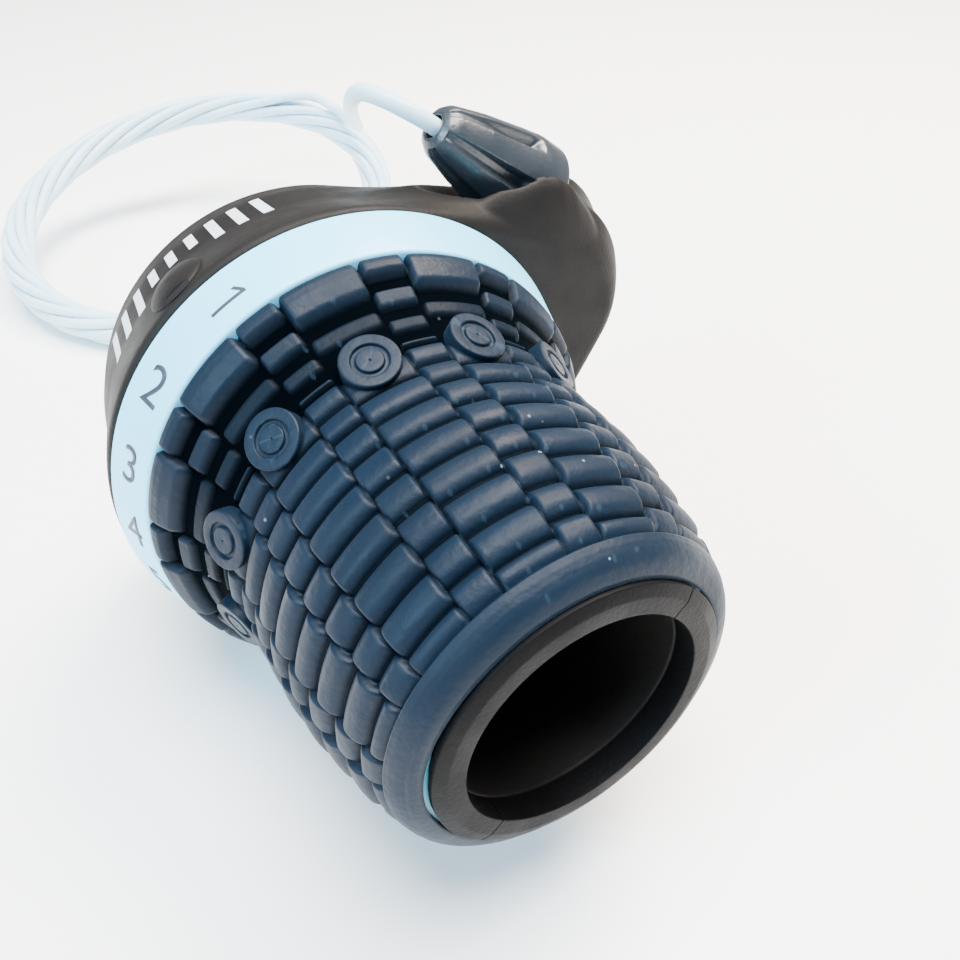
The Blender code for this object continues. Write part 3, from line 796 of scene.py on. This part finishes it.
def make_digits():
    """Numbers of the seven positions, read across the cone."""
    digit_phi = (28, 51, 70, 87, 104, 121, 138)
    centre_x = 31.0
    height = 3.9
    narrowing = 0.9
    for number, phi in enumerate(digit_phi, start=1):
        shape = digit_shape(number)
        us = [vert.co.x for vert in shape.verts]
        vs = [vert.co.y for vert in shape.verts]
        scale = height / (max(vs) - min(vs))
        middle_u = (max(us) + min(us)) / 2
        middle_v = (max(vs) + min(vs)) / 2
        for vert in shape.verts:
            x = centre_x + (vert.co.x - middle_u) * scale * narrowing
            radius = ring_radius(x) + INK_LIFT
            turn = phi - math.degrees((vert.co.y - middle_v) * scale / radius)
            vert.co = around_bar(x, radius, turn) * MM
        bmesh.ops.recalc_face_normals(shape, faces=shape.faces)
        thick = bmesh.ops.extrude_face_region(shape, geom=shape.faces[:])
        for element in thick["geom"]:
            if isinstance(element, bmesh.types.BMVert):
                away = Vector((0, element.co.y, element.co.z)).normalized()
                element.co += away * INK_THICKNESS * MM
        bmesh.ops.recalc_face_normals(shape, faces=shape.faces)
        digit = add_piece(f"digit_{number}", mesh_from(f"digit_{number}", shape), DIGIT_GREY, "grip")


# ---------------------------------------------------------------- end ring
def make_end_ring():
    """Two half rings that close the end, with a hairline gap between them."""
    outline = rounded((
        (END_FACE, 12.9), (71.8, 14.0), (71.1, 14.0), (71.1, 13.2), (69.65, 13.2), (69.65, 11.2),
        (END_FACE, 11.2)), 0.12)
    half_gap = 0.006
    for start_deg, node in ((45, "retainer_half_left"), (225, "retainer_half_right")):
        start = math.radians(start_deg)
        rows = [
            [(along, radius * math.cos(angle), radius * math.sin(angle)) for along, radius in outline]
            for angle in np.linspace(start + half_gap, start + math.pi - half_gap, 161)]
        mesh = capped_mesh(node, rows)
        mesh.set_sharp_from_angle(angle=math.radians(50))
        half = add_piece(f"{node}_fine", mesh, END_BLACK, "housing")
        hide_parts(node)


# ---------------------------------------------------------------- housing
def station_at(x):
    """Drum radius, horn centre and horn radius at a distance along the bar."""
    for low, high in zip(HOUSING_STATIONS, HOUSING_STATIONS[1:]):
        if x <= high[0] + 1e-6:
            share = (x - low[0]) / (high[0] - low[0])
            return [a + (b - a) * share for a, b in zip(low, high)][1:]
    return list(HOUSING_STATIONS[-1][1:])


def outline_radius(angles, drum, horn_y, horn_z, horn):
    """Polar radius of the belt stretched round the drum circle and the horn circle."""
    reach = math.hypot(horn_y, horn_z)
    turn = angles - math.atan2(horn_z, horn_y)
    best = np.full_like(angles, drum)
    for share in np.linspace(0, 1, 65):
        side = share * reach * np.sin(turn)
        circle = drum + (horn - drum) * share
        inside = np.abs(side) < circle
        reached = share * reach * np.cos(turn) + np.sqrt(np.maximum(circle ** 2 - side ** 2, 0.0))
        best = np.where(inside, np.maximum(best, reached), best)
    return best


def housing_mesh(name, stations, inset, sides=360):
    """Loft through the stations; inset is one number or one for each station."""
    insets = np.broadcast_to(inset, (len(stations),))
    angles = np.linspace(0, 2 * math.pi, sides, endpoint=False)
    rows = []
    for x, inwards in zip(stations, insets):
        drum, horn_y, horn_z, horn = station_at(x)
        radius = outline_radius(angles, drum - inwards, horn_y, horn_z, horn - inwards)
        rows.append(np.stack([np.full(sides, x), radius * np.cos(angles), radius * np.sin(angles)], axis=-1))
    return capped_mesh(name, rows)


def pocket_lip():
    """Crest of the horn's front wall, which stands before the foot of the adjuster."""
    # Y and Z along the crest
    crest = (
        (14.5, 21.4), (16.0, 22.8), (17.5, 23.6), (20.0, 24.3), (22.3, 24.5), (25.3, 24.9),
        (27.6, 24.4), (29.5, 23.0), (31.5, 20.4), (33.5, 17.2))
    rows = []
    for y, top in crest:
        profile = rounded((
            (23.2, 14.0), (23.2, top - 2.6), (24.2, top - 0.5), (25.2, top), (26.2, top - 1.0),
            (27.0, top - 3.0), (27.5, top - 6.0), (27.5, 8.0)), 0.8)
        rows.append([(x, y, z) for x, z in profile])
    return add_object("pocket_lip", capped_mesh("pocket_lip", rows))


def make_housing():
    """Hollow drum and horn, with a foot, the adjuster's pocket and the opening for the ring."""
    # the front edge is rounded over its last stretch: how far along it, and how far inwards
    rounding_x = np.array([0.35, 0.65, 0.9, 1.1, 1.2])
    rounding_inset = [0.05, 0.2, 0.45, 0.8, 1.1]
    straight = np.linspace(SHELL_BACK, SHELL_FRONT - rounding_x[-1], 22)
    stations = np.concatenate([straight, straight[-1] + rounding_x])
    edge = np.concatenate([np.zeros(len(straight)), rounding_inset])
    shell = add_object("housing_shell_fine", housing_mesh("housing_shell_fine", stations, edge))
    foot_low = (SHELL_BACK + 0.1, -8.0, TABLE_LEVEL)
    foot = box_tool("foot", foot_low, (SHELL_FRONT - 0.5, 9.0, -18.0), bevel=1.2)
    hollow_x = np.linspace(SHELL_BACK - 1.0, SHELL_FRONT - SHELL_WALL, 16)
    cavity = add_object("cavity", housing_mesh("cavity", hollow_x, SHELL_WALL, sides=180))
    wall_base = on_adjuster(ADJUSTER_FACE - SHELL_WALL)
    wall = cylinder_tool("pocket_wall", wall_base, on_adjuster(14.0), radius=7.8)
    envelope = add_object("envelope", housing_mesh("envelope", stations, edge + 0.05))
    combine(wall, [("INTERSECT", envelope)])
    pocket = cylinder_tool("pocket", on_adjuster(ADJUSTER_FACE), on_adjuster(30.0), radius=6.3)
    stem_hole = cylinder_tool("stem_hole", on_adjuster(-6.0), on_adjuster(0.0), radius=2.6)
    opening = cylinder_tool("opening", (24, 0, 0), (30, 0, 0), radius=24.5, sides=180)
    combine(shell, [
        ("UNION", foot),
        ("DIFFERENCE", cavity),
        ("UNION", wall),
        ("UNION", pocket_lip()),
        ("DIFFERENCE", pocket),
        ("DIFFERENCE", stem_hole),
        ("DIFFERENCE", opening),
    ])
    soften(shell, voxel=0.28, rounds=6)
    shell.data.materials.append(HOUSING_BLACK)
    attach(shell, "housing")
    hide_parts("housing_shell")


def drum_radius(x):
    return station_at(x)[0]


def make_index_bump():
    """Raised oval pad with a slot, which marks the chosen number on the ring."""
    centre_x, centre_phi = 22.6, 34.6
    half_length = 3.9
    half_width_deg = 7.4
    above, below = 0.75, 0.5
    shape = bmesh.new()
    bmesh.ops.create_uvsphere(shape, u_segments=64, v_segments=32, radius=1.0)
    for vert in shape.verts:
        along, across, up = vert.co
        from_middle = min(1.0, math.hypot(along, across))
        x = centre_x + along * half_length
        phi = centre_phi + across * half_width_deg
        height = up * (above if up > 0 else below)
        vert.co = around_bar(x, drum_radius(x) + height * (1.25 - 0.25 * from_middle), phi) * MM
    bump = add_object("index_bump", mesh_from("index_bump", shape))
    slot_x = 26.0
    slot_level = drum_radius(slot_x) + 0.55
    start = around_bar(slot_x, slot_level, 31.5)
    end = around_bar(slot_x, slot_level, 37.8)
    combine(bump, [("DIFFERENCE", cylinder_tool("index_slot", start, end, radius=0.42, sides=24))])
    sharpen(bump.data, 40)
    bump.data.materials.append(HOUSING_BLACK)
    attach(bump, "housing")


def make_drum_marks():
    """A plain row of pale dashes printed on the drum, shorter beside the index bump."""
    first_phi, spacing = 8.0, 6.2
    half_width = 1.3
    cells = 6
    merged = bmesh.new()
    for i in range(9):
        phi = first_phi + spacing * i
        end_x = 17.4 if 26 < phi < 44 else 19.5
        rows = []
        for across in range(cells + 1):
            turn = phi - half_width + 2 * half_width * across / cells
            rows.append([
                merged.verts.new(around_bar(x, drum_radius(x) + INK_LIFT, turn) * MM)
                for x in np.linspace(14.0, end_x, cells + 1)])
        for first, second in zip(rows, rows[1:]):
            for j in range(cells):
                merged.faces.new((first[j], first[j + 1], second[j + 1], second[j]))
    bmesh.ops.recalc_face_normals(merged, faces=merged.faces)
    marks = add_piece("drum_marks", mesh_from("drum_marks", merged), MARK_PALE, "housing")
    solid = marks.modifiers.new("Ink", "SOLIDIFY")
    solid.thickness = INK_THICKNESS * MM
    apply_modifiers(marks)


# ---------------------------------------------------------------- clamp and sleeve
def make_clamp():
    """Collar with its ears and slit, the sleeve inside the grip, and the plate that closes the housing."""
    sleeve_end = 69.6
    sleeve_radius = 13.2
    collar_end = 9.0
    outline = rounded((
        (sleeve_end, sleeve_radius), (collar_end, sleeve_radius), (collar_end, COLLAR_RADIUS),
        (0.0, COLLAR_RADIUS), (0.0, BAR_BORE_RADIUS), (sleeve_end, BAR_BORE_RADIUS)), 0.4)
    body = add_object("clamp_body_fine", turned_mesh("clamp_body_fine", outline, sides=192))

    # the plate's outer edge is rounded: how far from its back, and how far inwards
    stations = COVER_BACK + np.array([0.0, 0.15, 0.4, 0.8, 1.3, COVER_FRONT - COVER_BACK])
    edge = np.array([1.2, 0.75, 0.4, 0.12, 0.0, 0.0])
    plate = add_object("plate", housing_mesh("plate", stations, edge, sides=240))
    tongue = box_tool("tongue", (COVER_BACK + 0.2, -6.0, -26.8), (COVER_FRONT - 0.1, 7.0, -18.0), bevel=0.5)
    bar_hole = cylinder_tool("plate_hole", (0, 0, 0), (20, 0, 0), radius=BAR_BORE_RADIUS + 1.1, sides=96)
    combine(plate, [("UNION", tongue), ("DIFFERENCE", bar_hole)])

    ears = box_tool("ears", (0.4, -7.2, -25.0), (6.3, 7.2, -14.5), bevel=0.8)
    slit = box_tool("slit", (-1.0, -1.2, -27.0), (6.6, 1.2, -9.0))
    across = Vector((0, 10, 0))
    bolt_hole = cylinder_tool("bolt_hole", BOLT_CENTRE - across, BOLT_CENTRE + across, radius=2.3)
    steps = [("UNION", plate), ("UNION", ears), ("DIFFERENCE", slit), ("DIFFERENCE", bolt_hole)]
    for y, z in ((22.5, 4.5), (0.5, -24.3)):
        hole = cylinder_tool("hole", (5, y, z), (12, y, z), radius=1.25, sides=32)
        sink = cylinder_tool("sink", (5, y, z), (8.7, y, z), radius=2.05, sides=32)
        steps += [("DIFFERENCE", hole), ("DIFFERENCE", sink)]
    combine(body, steps)
    sharpen(body.data, 32)
    body.data.materials.append(HOUSING_BLACK)
    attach(body, "housing")
    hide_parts("clamp_body")


def make_clamp_bolt():
    """Bolt across the ears, with a hexagon socket in its head."""
    axis = Vector((0.0, 1.0, 0.0))
    outline = rounded((
        (-11.8, 0.02), (-11.8, 3.3), (-7.5, 3.3), (-7.5, 1.95), (12.0, 1.95), (12.0, 0.02)), 0.3)
    mesh = turned_mesh("clamp_bolt_fine", outline, sides=96, origin=BOLT_CENTRE, axis=axis)
    bolt = add_object("clamp_bolt_fine", mesh)
    socket_bottom = BOLT_CENTRE - axis * 9.6
    socket = cylinder_tool("socket", BOLT_CENTRE - axis * 13.0, socket_bottom, radius=1.7, sides=6)
    combine(bolt, [("DIFFERENCE", socket)])
    sharpen(bolt.data, 35)
    bolt.data.materials.append(ZINC)
    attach(bolt, "housing")
    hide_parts("clamp_bolt")


# ---------------------------------------------------------------- adjuster knob
def make_knob():
    """Fluted cone with a rounded tip, hollow for the cable."""
    outer = rounded((
        (14.1, 1.3), (14.1, 1.6), (13.7, 2.35), (12.9, 2.95), (9.0, 4.1), (4.0, 5.2), (1.2, 5.75),
        (-1.8, 5.8), (-1.8, 3.7), (4.6, 3.7), (4.6, 2.2), (-4.0, 2.2), (-4.0, 1.3), (12.0, 1.3)), 0.25)
    longest = 0.35
    fine = []
    for i, point in enumerate(outer):
        following = outer[(i + 1) % len(outer)]
        pieces = max(1, int((following - point).length / longest))
        fine += [point.lerp(following, step / pieces) for step in range(pieces)]
    sides = 288
    angles = np.linspace(0, 2 * math.pi, sides, endpoint=False)
    first = BAR_AXIS
    second = ADJUSTER_AXIS.cross(first)
    flutes = 6
    flute_depth = 1.3
    wave = ease(np.cos(flutes * angles) * 1.5 - 0.35)
    rows = []
    for along, radius in fine:
        inside_radius = 3.8 if along < 4.8 else 2.25
        depth = 0.0
        if 2.0 < along < 13.6 and radius > inside_radius:
            fading = 1 - 0.8 * ease((along - 3.0) / 10.0)
            depth = flute_depth * ease((along - 2.2) / 0.9) * fading
        ring_radii = radius - depth * wave
        centre = np.array(on_adjuster(along))
        across = np.outer(ring_radii * np.cos(angles), np.array(first))
        across += np.outer(ring_radii * np.sin(angles), np.array(second))
        rows.append(centre + across)
    mesh = grid_mesh("barrel_adjuster_fine", rows)
    sharpen(mesh, 50)
    knob = add_piece("barrel_adjuster_fine", mesh, KNOB_BLACK, "adjuster")
    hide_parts("barrel_adjuster")


# ---------------------------------------------------------------- carried-over nodes, floor and light
ACETAL_NODES = ("cable_spool", "slide_washer", "cable_guide")
ZINC_NODES = (
    "clamp_nut", "cover_screw_1", "cover_screw_2", "detent_spring", "detent_screw", "adjuster_washer",
    "adjuster_spring", "cable_nipple", "cable_wrap", "cable_lead", "cable_end_cap",
)


def dress_nodes():
    """Materials for the CAD nodes that stay as they are."""
    for material, nodes in ((ACETAL_GREY, ACETAL_NODES), (ZINC, ZINC_NODES)):
        for node in nodes:
            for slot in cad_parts[node].material_slots:
                slot.material = material


def floor_material():
    shader = Shader("floor_pale")
    tone = shader.mix(shader.noise(3, 2.0), rgb(0.93, 0.93, 0.925), rgb(0.96, 0.96, 0.955))
    shader.set("Base Color", tone)
    shader.set("Roughness", 0.8)
    return shader.material


def make_stage():
    half = 1.5
    level = TABLE_LEVEL * MM - 0.0001
    corners = [(-half, -half, level), (half, -half, level), (half, half, level), (-half, half, level)]
    mesh = bpy.data.meshes.new("floor")
    mesh.from_pydata(corners, [], [(0, 1, 2, 3)])
    floor = add_object("floor", mesh)
    mesh.materials.append(floor_material())


def add_light(name, place, target, size, power, colour):
    """Round area light; its place and target are in metres."""
    data = bpy.data.lights.new(name, "AREA")
    data.shape = "DISK"
    data.size = size
    data.energy = power
    data.color = colour
    light = add_object(name, data)
    light.location = place
    light.rotation_mode = "QUATERNION"
    light.rotation_quaternion = (Vector(place) - Vector(target)).to_track_quat("Z", "Y")


def make_light():
    world = bpy.data.worlds.new("studio")
    bpy.context.scene.world = world
    world.use_nodes = True
    background = world.node_tree.nodes["Background"]
    background.inputs["Color"].default_value = (0.98, 0.98, 1.0, 1.0)
    background.inputs["Strength"].default_value = 0.48
    middle = (0.03, 0.0, 0.0)
    add_light("sky_blue", (0.10, -0.55, 0.40), middle, 0.30, 9.0, (0.50, 0.78, 1.0))
    add_light("warm_top", (-0.05, 0.30, 0.50), middle, 0.30, 13.0, (1.0, 0.86, 0.74))
    add_light("wide_white", (0.10, 0.0, 0.90), middle, 0.60, 34.0, (1.0, 0.99, 0.98))


make_camera()
make_cable()
make_rubber()
make_buttons()
make_barrel()
make_digits()
make_end_ring()
make_housing()
make_index_bump()
make_drum_marks()
make_clamp()
make_clamp_bolt()
make_knob()
dress_nodes()
make_stage()
make_light()
